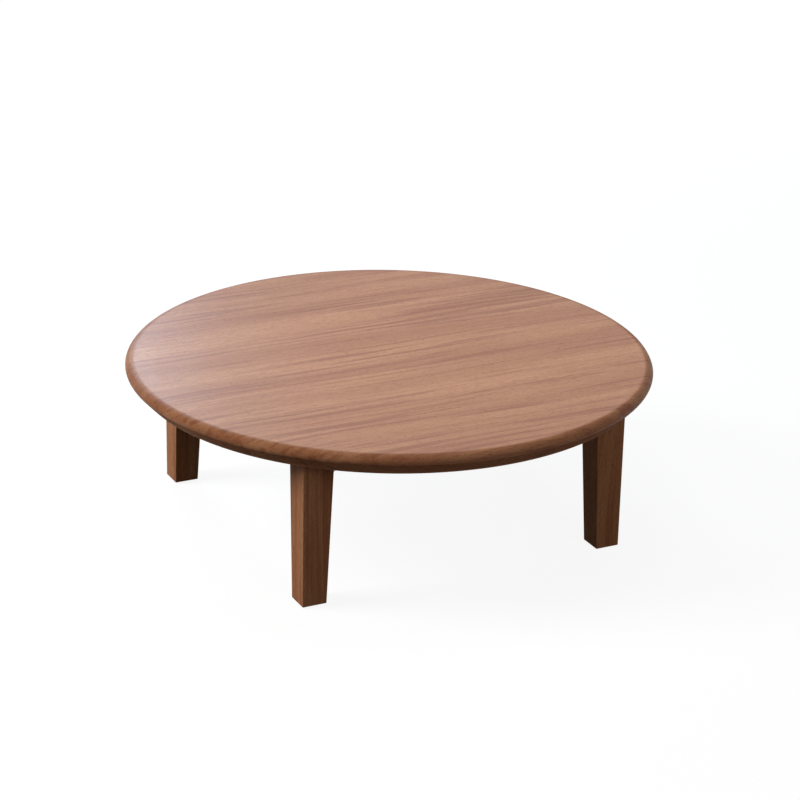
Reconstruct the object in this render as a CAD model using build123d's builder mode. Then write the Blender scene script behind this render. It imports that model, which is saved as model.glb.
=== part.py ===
"""Round folding low table: a solid top with a rounded rim on four legs that fold flat under it.

Each leg turns on its own stamped steel hinge, and an over-centre tension spring holds it upright
or folded. The origin is on the floor under the middle of the top. +X runs along the grain, +Y
towards the back and +Z up. The front left corner is modelled, and quarter turns about Z give the
other three, so each leg folds towards the next one and the four never meet.
"""

import os
from math import atan2, cos, degrees, hypot, sin

from build123d import *

# Top
TABLE_DIAMETER = 800.0
TABLE_HEIGHT = 260.0
TOP_THICKNESS = 34.0
EDGE_WIDEST_DROP = 13.0  # how far below the top face the rim is widest
EDGE_TOP_INSET = 11.0
EDGE_UNDER_INSET = 20.0

# Legs
LEG_SPREAD = 524.0  # over the outer faces of two neighbouring legs
LEG_TOP_WIDTH = 48.0
LEG_FOOT_WIDTH = 38.0
LEG_EDGE_CHAMFER = 1.2
LEG_FOOT_CHAMFER = 1.0
PAD_WIDTH = 28.0
PAD_THICKNESS = 2.0

# Hinge: the pivot's place, from the underside of the top and from the leg's inner face
PIVOT_DROP = 13.5
PIVOT_REACH = 13.5
STEEL = 2.0
CHANNEL_WIDTH = 24.0  # over the outer faces of the leg bracket's ears
EAR_CLEARANCE = 0.3
EAR_RADIUS = 7.0
EAR_FOOT = 20.0  # length of an ear where it is bent out of its plate
BEND_CROP = 1.2
PLATE_CORNER_CROP = 3.0

# Top bracket
WING_WIDTH = 60.0
WING_LENGTH = 28.0
WING_SCREW_SPACING_ACROSS = 43.0
WING_SCREW_SPACING_ALONG = 15.0
TOP_SCREW_LENGTH = 20.0

# Leg bracket
LEG_PLATE_GAP = 3.0  # from the top of the leg to the end of the plate
LEG_NECK_LENGTH = 26.0
LEG_PLATE_WIDTH = 36.0
LEG_PLATE_LENGTH = 44.0
LEG_SCREW_SPACING_ACROSS = 21.0
LEG_SCREW_SPACING_ALONG = 25.0
LEG_SCREW_LENGTH = 22.0

# Rivets and screws
PIVOT_RADIUS = 2.5
PIVOT_RUNNING_FIT = 0.05
PIVOT_HEAD_RADIUS = 4.5
PIVOT_HEAD_HEIGHT = 1.6
RIVET_END_PLAY = 0.1
PIN_RADIUS = 2.0
PIN_HEAD_RADIUS = 3.6
PIN_HEAD_HEIGHT = 1.4
SCREW_RADIUS = 2.0
SCREW_HEAD_RADIUS = 4.0

# Small round pieces that repeat have flat sides, which keeps the whole table light
SCREW_SIDES = 8
PIN_SIDES = 12
EAR_SIDES = 8

# Spring
SPRING_PIN_OFFSET = 6.0  # of the leg's spring pin, up and outwards from the pivot
SPRING_PIN_EAR_RADIUS = 4.5
ANCHOR_REACH = 52.5  # from the pivot to the spring's fixed pin
SPRING_WIRE_RADIUS = 0.7
SPRING_COIL_RADIUS = 4.1
SPRING_HOOK_CLEARANCE = 0.1
SPRING_HOOK_LENGTH = 7.0  # from a pin to the first turn

CORNERS = ("front_left", "front_right", "back_right", "back_left")
QUARTER_TURN = 360.0 / len(CORNERS)

# Heights and places that follow from the sizes above
UNDERSIDE = TABLE_HEIGHT - TOP_THICKNESS
LEG_OUTER = LEG_SPREAD / 2
LEG_INNER = LEG_OUTER - LEG_TOP_WIDTH
LEG_MIDDLE = LEG_OUTER - LEG_TOP_WIDTH / 2
LEG_LENGTH = UNDERSIDE - PAD_THICKNESS
TAPER = atan2(LEG_TOP_WIDTH - LEG_FOOT_WIDTH, LEG_LENGTH)
SCREW_HEAD_HEIGHT = SCREW_HEAD_RADIUS - SCREW_RADIUS
LEG_EAR_OUTER = CHANNEL_WIDTH / 2
LEG_EAR_INNER = LEG_EAR_OUTER - STEEL
TOP_EAR_INNER = LEG_EAR_OUTER + EAR_CLEARANCE
TOP_EAR_OUTER = TOP_EAR_INNER + STEEL

# Points of the hinge, as (reach inwards from the leg's inner face, drop below the underside)
PIVOT = (PIVOT_REACH, PIVOT_DROP)
SPRING_PIN = (PIVOT_REACH - SPRING_PIN_OFFSET, PIVOT_DROP - SPRING_PIN_OFFSET)
ANCHOR = (PIVOT_REACH + ANCHOR_REACH, PIVOT_DROP)
WING_MIDDLE = PIVOT_REACH + ANCHOR_REACH / 2
PLATE_START = PIVOT_REACH - EAR_FOOT / 2
PLATE_END = ANCHOR[0] + EAR_FOOT / 2
SPRING_LENGTH = hypot(ANCHOR[0] - SPRING_PIN[0], ANCHOR[1] - SPRING_PIN[1])

LEG_PLATE_START = LEG_PLATE_GAP + LEG_NECK_LENGTH
LEG_PLATE_MIDDLE = LEG_PLATE_START + LEG_PLATE_LENGTH / 2

HINGE_ORIGIN = Vector(-LEG_INNER, -LEG_MIDDLE, UNDERSIDE)


def side_plane(across):
    """Plane across the hinge's axis: x is reach, y is drop, and across is the place along the axis."""
    return Plane(origin=HINGE_ORIGIN + Vector(0, across, 0), x_dir=(1, 0, 0), z_dir=(0, 1, 0))


def underside_plane():
    """Plane of the underside, facing down: x is reach."""
    return Plane(origin=HINGE_ORIGIN, x_dir=(1, 0, 0), z_dir=(0, 0, -1))


def leg_face_plane():
    """Plane of the leg's tapered inner face, facing the middle: x runs down the leg."""
    down = (-sin(TAPER), 0, -cos(TAPER))
    inwards = (cos(TAPER), 0, -sin(TAPER))
    return Plane(origin=HINGE_ORIGIN, x_dir=down, z_dir=inwards)


def face_point(down_leg):
    """Reach and drop of a point on the leg's inner face."""
    return (-down_leg * sin(TAPER), down_leg * cos(TAPER))


def spring_plane(along):
    """Plane square to the spring, at a distance from the leg's spring pin towards the fixed pin."""
    slope = atan2(ANCHOR[1] - SPRING_PIN[1], ANCHOR[0] - SPRING_PIN[0])
    reach, drop = SPRING_PIN[0] + along * cos(slope), SPRING_PIN[1] + along * sin(slope)
    return Plane(
        origin=HINGE_ORIGIN + Vector(reach, 0, -drop),
        x_dir=(0, 1, 0),
        z_dir=(cos(slope), 0, -sin(slope)),
    )


def at_corner(turn):
    """The quarter turn that takes the front left corner to another."""
    return Location((0, 0, 0), (0, 0, turn * QUARTER_TURN))


def all_corners():
    """The places of a front left piece at each of the four corners."""
    return Locations(*[at_corner(turn) for turn in range(len(CORNERS))])


def draw_flat_sided(centre, radius, sides):
    """Draw a regular outline on the open sketch, its flats at the radius and square to the axes."""
    with Locations(centre):
        RegularPolygon(radius, sides, major_radius=False, rotation=180 / sides)


def draw_pin(centre, radius):
    """Draw the outline of a small pin or its hole on the open sketch, its corners at the radius."""
    with Locations(centre):
        RegularPolygon(radius, PIN_SIDES)


def draw_cropped_plate(middle, length, width):
    """Draw a plate outline with its four corners cropped on the open sketch."""
    with Locations((middle, 0)):
        plate = Rectangle(length, width)
    chamfer(plate.vertices(), length=PLATE_CORNER_CROP)


def add_ear(side, inner, outer, feet, posts):
    """Add a stamped ear to the open part, on one side: the hull of its feet and its posts."""
    with BuildSketch(side_plane(min(side * inner, side * outer))) as outline:
        with BuildLine():
            Line(*feet)
        for centre, radius in posts:
            draw_flat_sided(centre, radius, EAR_SIDES)
        make_hull()
    extrude(outline.sketch, amount=outer - inner)


def make_screw(length):
    """Upright countersunk wood screw, its head's flat top at the origin."""
    head, waist = 2 * SCREW_HEAD_RADIUS, SCREW_HEAD_HEIGHT
    near, far = SCREW_HEAD_RADIUS - SCREW_RADIUS, SCREW_HEAD_RADIUS + SCREW_RADIUS
    with BuildPart() as screw:
        for pair in range(SCREW_SIDES // 4):
            with Locations(Location((0, 0, 0), (0, 0, pair * 360 / SCREW_SIDES))):
                Wedge(
                    head,
                    waist,
                    head,
                    near,
                    near,
                    far,
                    far,
                    rotation=(-90, 0, 0),
                    align=(Align.CENTER, Align.MIN, Align.CENTER),
                    mode=Mode.INTERSECT if pair else Mode.ADD,
                )
        with BuildSketch():
            draw_flat_sided((0, 0), SCREW_RADIUS, SCREW_SIDES)
        extrude(amount=-length)
    return screw.part


def make_screws(plate, middle, along, across, length):
    """Four screws in a rectangle, their heads flush with the outside of a plate."""
    screw = make_screw(length)
    with BuildPart() as screws:
        with Locations(plate.offset(STEEL).location * Location((middle, 0, 0))):
            with GridLocations(along, across, 2, 2):
                add(screw)
    return screws.part


def make_table_top(screws):
    """Solid round top, its rim rounded above and bevelled below, with blind holes for the screws."""
    rim = TABLE_DIAMETER / 2
    widest = (rim, TABLE_HEIGHT - EDGE_WIDEST_DROP)
    crease = (rim - EDGE_TOP_INSET, TABLE_HEIGHT)
    under = (rim - EDGE_UNDER_INSET, UNDERSIDE)
    with BuildPart() as table_top:
        with BuildSketch(Plane.XZ):
            with BuildLine():
                Polyline(crease, (0, TABLE_HEIGHT), (0, UNDERSIDE), under, widest)
                TangentArc(widest, crease, tangent=(0, 1))
            make_face()
        revolve(axis=Axis.Z)
        with all_corners():
            add(screws, mode=Mode.SUBTRACT)
    return table_top.part


def make_leg(screws):
    """Square leg with upright outer faces and tapered inner faces, and blind holes for its screws."""
    profile = (
        (-LEG_OUTER, PAD_THICKNESS),
        (-LEG_OUTER, UNDERSIDE),
        (-LEG_INNER, UNDERSIDE),
        (LEG_FOOT_WIDTH - LEG_OUTER, PAD_THICKNESS),
    )
    with BuildPart() as leg:
        with BuildSketch(Plane.XZ):
            Polygon(*profile, align=None)
        extrude(amount=LEG_OUTER)
        with BuildSketch(Plane.YZ):
            Polygon(*profile, align=None)
        extrude(amount=-LEG_OUTER, mode=Mode.INTERSECT)
        long_edges = leg.edges().filter_by(lambda edge: edge.length > LEG_LENGTH - LEG_EDGE_CHAMFER)
        chamfer(long_edges, length=LEG_EDGE_CHAMFER)
        chamfer(leg.faces().sort_by(Axis.Z)[0].edges(), length=LEG_FOOT_CHAMFER)
        add(screws, mode=Mode.SUBTRACT)
    return leg.part


def make_foot_pad():
    """Thin square pad stuck under the middle of the foot."""
    middle = -LEG_OUTER + LEG_FOOT_WIDTH / 2
    with BuildPart() as foot_pad:
        with BuildSketch():
            with Locations((middle, middle)):
                Rectangle(PAD_WIDTH, PAD_WIDTH)
        extrude(amount=PAD_THICKNESS)
    return foot_pad.part


def make_top_bracket(screws):
    """Plate screwed to the underside, with two ears for the leg's pivot and two for the spring."""
    with BuildPart() as top_bracket:
        with BuildSketch(underside_plane()):
            with Locations((PLATE_START, 0)):
                Rectangle(PLATE_END - PLATE_START, 2 * TOP_EAR_OUTER, align=(Align.MIN, Align.CENTER))
        extrude(amount=STEEL)
        with BuildSketch(underside_plane()):
            draw_cropped_plate(WING_MIDDLE, WING_LENGTH, WING_WIDTH)
        extrude(amount=STEEL)
        for side in (-1, 1):
            for post in (PIVOT, ANCHOR):
                feet = ((post[0] - EAR_FOOT / 2, 0), (post[0] + EAR_FOOT / 2, 0))
                add_ear(side, TOP_EAR_INNER, TOP_EAR_OUTER, feet, [(post, EAR_RADIUS)])
        bends = (
            top_bracket.edges()
            .filter_by(Axis.X)
            .filter_by_position(Axis.Z, UNDERSIDE, UNDERSIDE)
            .filter_by(lambda edge: abs(abs(edge.center().Y + LEG_MIDDLE) - TOP_EAR_OUTER) < BEND_CROP)
        )
        chamfer(bends, length=BEND_CROP)
        with BuildSketch(side_plane(-TOP_EAR_OUTER)):
            with Locations(PIVOT):
                Circle(PIVOT_RADIUS)
            draw_pin(ANCHOR, PIN_RADIUS)
        extrude(amount=2 * TOP_EAR_OUTER, mode=Mode.SUBTRACT)
        add(screws, mode=Mode.SUBTRACT)
    return top_bracket.part


def make_leg_bracket(screws):
    """Plate screwed to the leg, with two ears that hold the pivot rivets and the spring's pin."""
    feet = (face_point(LEG_PLATE_GAP), face_point(LEG_PLATE_START))
    posts = [(PIVOT, EAR_RADIUS), (SPRING_PIN, SPRING_PIN_EAR_RADIUS)]
    with BuildPart() as leg_bracket:
        with BuildSketch(leg_face_plane()):
            with Locations((LEG_PLATE_GAP, 0)):
                Rectangle(
                    LEG_NECK_LENGTH + PLATE_CORNER_CROP,
                    CHANNEL_WIDTH,
                    align=(Align.MIN, Align.CENTER),
                )
        extrude(amount=STEEL)
        with BuildSketch(leg_face_plane()):
            draw_cropped_plate(LEG_PLATE_MIDDLE, LEG_PLATE_LENGTH, LEG_PLATE_WIDTH)
        extrude(amount=STEEL)
        for side in (-1, 1):
            add_ear(side, LEG_EAR_INNER, LEG_EAR_OUTER, feet, posts)
        with BuildSketch(side_plane(-LEG_EAR_OUTER)):
            with Locations(PIVOT):
                Circle(PIVOT_RADIUS + PIVOT_RUNNING_FIT)
            draw_pin(SPRING_PIN, PIN_RADIUS)
        extrude(amount=CHANNEL_WIDTH, mode=Mode.SUBTRACT)
        add(screws, mode=Mode.SUBTRACT)
    return leg_bracket.part


def add_heads(centre, low, high, radius, height):
    """Add a flat-sided head to each end of the open part's pin, outside two places on the hinge axis."""
    with BuildSketch(side_plane(low - height), side_plane(high)) as heads:
        draw_pin(centre, radius)
    extrude(heads.sketch, amount=height)


def make_pivot_rivets():
    """Two short rivets, one through each pair of ears, which leave the spring's way clear."""
    low = LEG_EAR_INNER - RIVET_END_PLAY
    with BuildPart() as pivot_rivets:
        for start, end in ((low, TOP_EAR_OUTER), (-TOP_EAR_OUTER, -low)):
            with BuildSketch(side_plane(start)):
                with Locations(PIVOT):
                    Circle(PIVOT_RADIUS)
            extrude(amount=end - start)
            add_heads(PIVOT, start, end, PIVOT_HEAD_RADIUS, PIVOT_HEAD_HEIGHT)
    return pivot_rivets.part


def make_anchor_pin():
    """Headed pin across the top bracket's inner ears, where the spring's fixed end hooks on."""
    with BuildPart() as anchor_pin:
        with BuildSketch(side_plane(-TOP_EAR_OUTER)):
            draw_pin(ANCHOR, PIN_RADIUS)
        extrude(amount=2 * TOP_EAR_OUTER)
        add_heads(ANCHOR, -TOP_EAR_OUTER, TOP_EAR_OUTER, PIN_HEAD_RADIUS, PIN_HEAD_HEIGHT)
    return anchor_pin.part


def make_spring_pin():
    """Plain pin, flush with the leg bracket's ears, where the spring pulls on the leg."""
    with BuildPart() as spring_pin:
        with BuildSketch(side_plane(-LEG_EAR_OUTER)):
            draw_pin(SPRING_PIN, PIN_RADIUS)
        extrude(amount=CHANNEL_WIDTH)
    return spring_pin.part


def make_spring():
    """Close-wound tension spring with a flat eye on each pin; its coil is the outer form of the turns."""
    eye_bore = PIN_RADIUS + SPRING_HOOK_CLEARANCE
    wire = 2 * SPRING_WIRE_RADIUS
    slope = degrees(atan2(ANCHOR[1] - SPRING_PIN[1], ANCHOR[0] - SPRING_PIN[0]))
    middle = ((SPRING_PIN[0] + ANCHOR[0]) / 2, (SPRING_PIN[1] + ANCHOR[1]) / 2)
    with BuildPart() as spring:
        with BuildSketch(spring_plane(SPRING_HOOK_LENGTH)):
            Circle(SPRING_COIL_RADIUS)
        extrude(amount=SPRING_LENGTH - 2 * SPRING_HOOK_LENGTH)
        with BuildSketch(side_plane(-SPRING_WIRE_RADIUS)):
            with Locations(Location(middle, slope)):
                Rectangle(SPRING_LENGTH, wire)
            for pin in (SPRING_PIN, ANCHOR):
                draw_flat_sided(pin, eye_bore + wire, PIN_SIDES)
            with Locations(SPRING_PIN, ANCHOR):
                RegularPolygon(eye_bore, PIN_SIDES, major_radius=False, mode=Mode.SUBTRACT)
        extrude(amount=wire)
    return spring.part


def write(part, name):
    """Label a finished piece and write it as its own STEP file."""
    part.label = name
    export_step(part, f"parts/{name}.step")


def write_by_corner(front_left, name):
    """Write a piece once for each corner."""
    for turn, corner in enumerate(CORNERS):
        with BuildPart() as placed:
            with Locations(at_corner(turn)):
                add(front_left)
        write(placed.part, f"{name}_{corner}")


def write_as_group(front_left, name):
    """Write the pieces of all the corners as one group of separate solids."""
    with BuildPart() as group:
        with all_corners():
            add(front_left)
    write(group.part, name)


os.makedirs("parts", exist_ok=True)
top_screws = make_screws(
    underside_plane(),
    WING_MIDDLE,
    WING_SCREW_SPACING_ALONG,
    WING_SCREW_SPACING_ACROSS,
    TOP_SCREW_LENGTH,
)
leg_screws = make_screws(
    leg_face_plane(),
    LEG_PLATE_MIDDLE,
    LEG_SCREW_SPACING_ALONG,
    LEG_SCREW_SPACING_ACROSS,
    LEG_SCREW_LENGTH,
)
write(make_table_top(top_screws), "table_top")
write_by_corner(make_leg(leg_screws), "leg")
write_by_corner(make_foot_pad(), "foot_pad")
write_by_corner(make_top_bracket(top_screws), "top_bracket")
write_by_corner(make_leg_bracket(leg_screws), "leg_bracket")
write_by_corner(make_spring_pin(), "spring_pin")
write_by_corner(make_spring(), "spring")
write_by_corner(leg_screws, "leg_screws")
write_as_group(top_screws, "top_screws")
write_as_group(make_pivot_rivets(), "pivot_rivets")
write_as_group(make_anchor_pin(), "anchor_pins")
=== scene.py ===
"""Round folding low table in stained ash: the board, four tapered legs and their sprung hinges.

Every size is in millimetres in the table's own frame, with the origin on the floor under the
middle of the board, +X along the board's grain, +Y to the back and +Z up. The front left corner is
modelled, and quarter turns about Z give the other three.
"""

import logging
from collections.abc import Callable, Iterator, Sequence
from contextlib import contextmanager
from dataclasses import dataclass
from enum import Enum
from itertools import pairwise, product
from math import atan2, cos, hypot, pi, radians, sin

import bmesh
import bpy
from mathutils import Matrix, Vector

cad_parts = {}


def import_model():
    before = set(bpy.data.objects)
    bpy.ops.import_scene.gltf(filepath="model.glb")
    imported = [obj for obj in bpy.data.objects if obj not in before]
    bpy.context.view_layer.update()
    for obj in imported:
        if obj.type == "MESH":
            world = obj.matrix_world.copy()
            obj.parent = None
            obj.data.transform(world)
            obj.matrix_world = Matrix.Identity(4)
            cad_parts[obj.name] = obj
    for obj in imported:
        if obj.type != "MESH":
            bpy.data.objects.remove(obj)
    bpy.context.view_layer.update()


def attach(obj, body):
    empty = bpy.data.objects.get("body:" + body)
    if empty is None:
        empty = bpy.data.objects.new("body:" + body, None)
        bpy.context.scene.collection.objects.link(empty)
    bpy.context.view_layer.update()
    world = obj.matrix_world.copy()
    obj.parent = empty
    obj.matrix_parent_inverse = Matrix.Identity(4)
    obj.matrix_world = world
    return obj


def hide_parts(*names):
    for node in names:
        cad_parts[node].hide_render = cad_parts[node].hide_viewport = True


logging.basicConfig(level=logging.INFO, format="%(message)s")
log = logging.getLogger("low_table")

MM = 0.001

FLAT_ANGLE = radians(1)  # faces that turn by less are one flat face
SHARP_ANGLE = radians(40)  # edges that turn by more are eased
EASE_STEPS = 2
SAME_PLACE = 1e-5  # in metres
LOOKING_DOWN = -0.9  # a face looks down where the Z of its normal is lower
WHITE = (1.0, 1.0, 1.0, 1.0)

Object = bpy.types.Object
Material = bpy.types.Material
Node = bpy.types.Node
Tree = bpy.types.NodeTree
Place = tuple[float, float, float]
Pair = tuple[float, float]
Source = Node | bpy.types.NodeSocket | float | tuple[float, ...]  # what a node's input takes


# ---- Named options ----


class Corner(Enum):
    """A corner of the table, as its quarter turns from the front left one."""

    FRONT_LEFT = 0
    FRONT_RIGHT = 1
    BACK_RIGHT = 2
    BACK_LEFT = 3

    @property
    def label(self) -> str:
        """The corner's name, as it ends the name of each of its pieces."""
        return self.name.lower()

    @property
    def turn(self) -> float:
        """Angle about Z from the front left corner, in radians."""
        return self.value * pi / 2


class Element(Enum):
    """What is picked in edit mode."""

    EDGES = "EDGE"
    FACES = "FACE"


class Join(Enum):
    """How pieces are combined with one."""

    UNITE = "UNION"
    CUT = "DIFFERENCE"


# ---- Bench: primitives, edit mode and modifiers ----


def only(piece: Object) -> None:
    """Select one piece alone and make it active.

    Args:
        piece: The piece.
    """
    bpy.ops.object.select_all(action="DESELECT")
    piece.select_set(True)
    bpy.context.view_layer.objects.active = piece


def start(primitive: Callable, **where: object) -> Object:
    """Add a primitive and put its place into its mesh.

    Args:
        primitive: The operator that adds it.
        **where: The operator's own settings, lengths in metres.

    Returns:
        The new piece, its object at the origin, unturned and unscaled.
    """
    bpy.ops.object.select_all(action="DESELECT")
    primitive(**where)
    piece = bpy.context.object
    bpy.ops.object.transform_apply(location=True, rotation=True, scale=True)
    return piece


def start_block(low: Place, high: Place) -> Object:
    """Add a block between two corners.

    Args:
        low: Its lowest corner, in millimetres.
        high: Its highest corner, in millimetres.

    Returns:
        The block.
    """
    middle = [(a + b) / 2 * MM for a, b in zip(low, high)]
    size = [(b - a) * MM for a, b in zip(low, high)]
    return start(bpy.ops.mesh.primitive_cube_add, size=1, location=middle, scale=size)


@contextmanager
def editing(piece: Object) -> Iterator[None]:
    """Hold a piece in edit mode, with nothing selected at first.

    Args:
        piece: The piece.

    Yields:
        Nothing.
    """
    only(piece)
    bpy.ops.object.mode_set(mode="EDIT")
    bpy.ops.mesh.select_all(action="DESELECT")
    yield
    bpy.ops.object.mode_set(mode="OBJECT")


def pick(piece: Object, kind: Element, wanted: Callable) -> None:
    """Select the parts of a mesh in edit mode that pass a test.

    Args:
        piece: The piece in edit mode.
        kind: Whether edges or faces are tested.
        wanted: Says of a bmesh part whether it is selected.
    """
    bpy.ops.mesh.select_mode(type=kind.value)
    bpy.ops.mesh.select_all(action="DESELECT")
    mesh = bmesh.from_edit_mesh(piece.data)
    for part in mesh.edges if kind is Element.EDGES else mesh.faces:
        if wanted(part):
            part.select_set(True)
    mesh.select_flush_mode()
    bmesh.update_edit_mesh(piece.data)


def looks_down(face: bmesh.types.BMFace) -> bool:
    """Whether a face looks down."""
    return face.normal.z < LOOKING_DOWN


def round_edges(block: Object, axis: int, radius: float, steps: int) -> None:
    """Round the edges of a block that run along one axis.

    Args:
        block: The block.
        axis: The axis, from 0 for X to 2 for Z.
        radius: The radius of the rounding, in millimetres.
        steps: How many steps it takes.
    """

    def runs_along(edge: bmesh.types.BMEdge) -> bool:
        """Whether an edge runs along the axis."""
        first, second = edge.verts
        return abs(first.co[axis] - second.co[axis]) > MM

    with editing(block):
        pick(block, Element.EDGES, runs_along)
        bpy.ops.mesh.bevel(offset=radius * MM, segments=steps, affect="EDGES")


def modify(piece: Object, kind: str, **settings: object) -> Object:
    """Add a modifier to a piece and apply it.

    Args:
        piece: The piece.
        kind: The modifier's type.
        **settings: The modifier's own settings.

    Returns:
        The same piece.
    """
    only(piece)
    modifier = piece.modifiers.new(kind.title(), kind)
    for setting, value in settings.items():
        setattr(modifier, setting, value)
    bpy.ops.object.modifier_apply(modifier=modifier.name)
    return piece


def shade(piece: Object, crisp_angle: float = 35.0) -> Object:
    """Shade a piece smoothly, with its sharp edges kept crisp.

    Args:
        piece: The piece.
        crisp_angle: Edges that turn by more than this stay crisp, in degrees.

    Returns:
        The same piece.
    """
    only(piece)
    bpy.ops.object.shade_smooth_by_angle(angle=radians(crisp_angle))
    return modify(piece, "WEIGHTED_NORMAL", keep_sharp=True)


def turned(profile: Sequence[Pair], sides: int) -> Object:
    """Raise a round piece about Z, ring by ring, closed by a flat face at each end.

    Args:
        profile: Radius and height of each ring, from the lower end up, in millimetres.
        sides: How many sides a ring has.

    Returns:
        The piece.
    """
    radius, height = profile[0]
    piece = start(
        bpy.ops.mesh.primitive_circle_add,
        vertices=sides,
        radius=radius * MM,
        fill_type="NGON",
        location=(0, 0, height * MM),
    )
    with editing(piece):
        bpy.ops.mesh.select_all(action="SELECT")
        for (near, low), (far, high) in pairwise(profile):
            rise, growth = (0, 0, (high - low) * MM), (far / near, far / near, 1)
            bpy.ops.mesh.extrude_region_move(TRANSFORM_OT_translate={"value": rise})
            bpy.ops.transform.resize(value=growth, center_override=(0, 0, 0))
        bpy.ops.mesh.select_all(action="SELECT")
        bpy.ops.mesh.normals_make_consistent(inside=False)
    return piece


def moved(piece: Object, matrix: Matrix) -> Object:
    """Move a piece's mesh, its object staying at the origin.

    Args:
        piece: The piece.
        matrix: The move, in metres.

    Returns:
        The same piece.
    """
    piece.data.transform(matrix)
    piece.data.update()
    return piece


def join(pieces: Sequence[Object]) -> Object:
    """Join pieces into the first of them, each staying a shell of its own.

    Args:
        pieces: The pieces.

    Returns:
        The first of them.
    """
    only(pieces[0])
    for piece in pieces:
        piece.select_set(True)
    bpy.ops.object.join()
    return pieces[0]


def hull(pieces: Sequence[Object]) -> Object:
    """Stretch a skin round pieces, as one solid.

    Args:
        pieces: The pieces, which are used up.

    Returns:
        The solid.
    """
    piece = join(pieces)
    with editing(piece):
        bpy.ops.mesh.select_all(action="SELECT")
        bpy.ops.mesh.convex_hull(join_triangles=True)
        bpy.ops.mesh.dissolve_limited(angle_limit=FLAT_ANGLE)
    return piece


def combine(piece: Object, others: Sequence[Object], how: Join) -> Object:
    """Unite pieces with one, or cut them out of it, and remove them.

    Args:
        piece: The piece that stays.
        others: The pieces that are united with it or cut out of it.
        how: Whether they are united or cut.

    Returns:
        The piece, its flat faces whole again.
    """
    for other in others:
        modify(piece, "BOOLEAN", operation=how.value, object=other, solver="EXACT")
        bpy.data.objects.remove(other)
    with editing(piece):
        bpy.ops.mesh.select_all(action="SELECT")
        bpy.ops.mesh.dissolve_limited(angle_limit=FLAT_ANGLE)
    return piece


def ease(piece: Object, width: float) -> None:
    """Round every sharp edge of a piece.

    Args:
        piece: The piece.
        width: How much of each side the rounding takes, in millimetres.
    """
    modify(
        piece,
        "BEVEL",
        width=width * MM,
        segments=EASE_STEPS,
        limit_method="ANGLE",
        angle_limit=SHARP_ANGLE,
    )


def duplicate(piece: Object) -> Object:
    """Copy a piece, with a mesh of its own.

    Args:
        piece: The piece.

    Returns:
        The copy.
    """
    copy = piece.copy()
    copy.data = piece.data.copy()
    bpy.context.scene.collection.objects.link(copy)
    return copy


def at_corners(piece: Object, name: str) -> Iterator[tuple[Object, Corner]]:
    """Set copies of a finished front left piece at every corner, and remove the piece itself.

    Args:
        piece: The piece at the front left.
        name: The copies' name, without its corner.

    Yields:
        Each copy and its corner.
    """
    for corner in Corner:
        copy = duplicate(piece)
        copy.data.transform(Matrix.Rotation(corner.turn, 4, "Z"))
        copy.name = copy.data.name = f"{name}_{corner.label}"
        yield copy, corner
    bpy.data.objects.remove(piece)


# ---- Node trees ----

MIX_FACTOR, MIX_A, MIX_B, MIX_RESULT = 0, 6, 7, 2


def linear(hex_colour: str) -> tuple[float, float, float, float]:
    """Turn an sRGB hex colour into a linear one.

    Args:
        hex_colour: The colour, such as "a07850".

    Returns:
        Linear red, green, blue and alpha.
    """
    shares = [int(hex_colour[i : i + 2], 16) / 255 for i in (0, 2, 4)]
    red, green, blue = [c / 12.92 if c <= 0.04045 else ((c + 0.055) / 1.055) ** 2.4 for c in shares]
    return red, green, blue, 1.0


def add_node(tree: Tree, kind: str, inputs: dict | None = None, **settings: object) -> Node:
    """Add a node with its settings, its constants and its links.

    Args:
        tree: The node tree.
        kind: The node's type, without "ShaderNode".
        inputs: For each socket, by name or number, a constant, a node or a node's socket.
        **settings: The node's own settings.

    Returns:
        The node.
    """
    node = tree.nodes.new(f"ShaderNode{kind}")
    for setting, value in settings.items():
        setattr(node, setting, value)
    for socket, value in (inputs or {}).items():
        if isinstance(value, Node):
            value = value.outputs[0]
        if isinstance(value, bpy.types.NodeSocket):
            tree.links.new(value, node.inputs[socket])
        else:
            node.inputs[socket].default_value = value
    return node


def new_material(name: str) -> tuple[Material, Tree]:
    """Make a material with an empty node tree.

    Args:
        name: The material's name.

    Returns:
        The material and its tree.
    """
    material = bpy.data.materials.new(name)
    material.use_nodes = True
    material.node_tree.nodes.clear()
    return material, material.node_tree


# ---- Dressing: materials, and places in the frame ----


def set_out(
    piece: Object, name: str, material: Material, body: str, node: str
) -> None:
    """Set a finished front left piece at every corner, as dressed copies, and remove it.

    Args:
        piece: The piece at the front left.
        name: The copies' name, without its corner.
        material: Their material.
        body: The body that each rides on, with {} where its corner goes.
        node: The CAD node that each stands for, with {} where its corner goes.
    """
    for copy, corner in at_corners(piece, name):
        dress(copy, material, body.format(corner.label), node.format(corner.label))


def dress(piece: Object, material: Material, body: str, node: str) -> None:
    """Give a piece its material and its places in the frame, and report it.

    Args:
        piece: The finished piece.
        material: Its material.
        body: The body that it rides on.
        node: The CAD node that it stands for.
    """
    piece.data.materials.clear()
    piece.data.materials.append(material)
    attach(piece, body)
    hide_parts(node)
    faces = len(piece.data.polygons)
    log.info("%-34s %6d faces  %s on %s", piece.name, faces, material.name, body)


# ---- Finishes ----


@dataclass(frozen=True)
class Figure:
    """One layer of the wood's figure: patches drawn out along the grain."""

    length: float  # of a patch, along the grain
    width: float  # of a patch, across it
    detail: float = 2.0
    fade: Pair = (0.0, 1.0)  # of its noise, from where the layer shows to where it is full
    strength: float = 1.0


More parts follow.
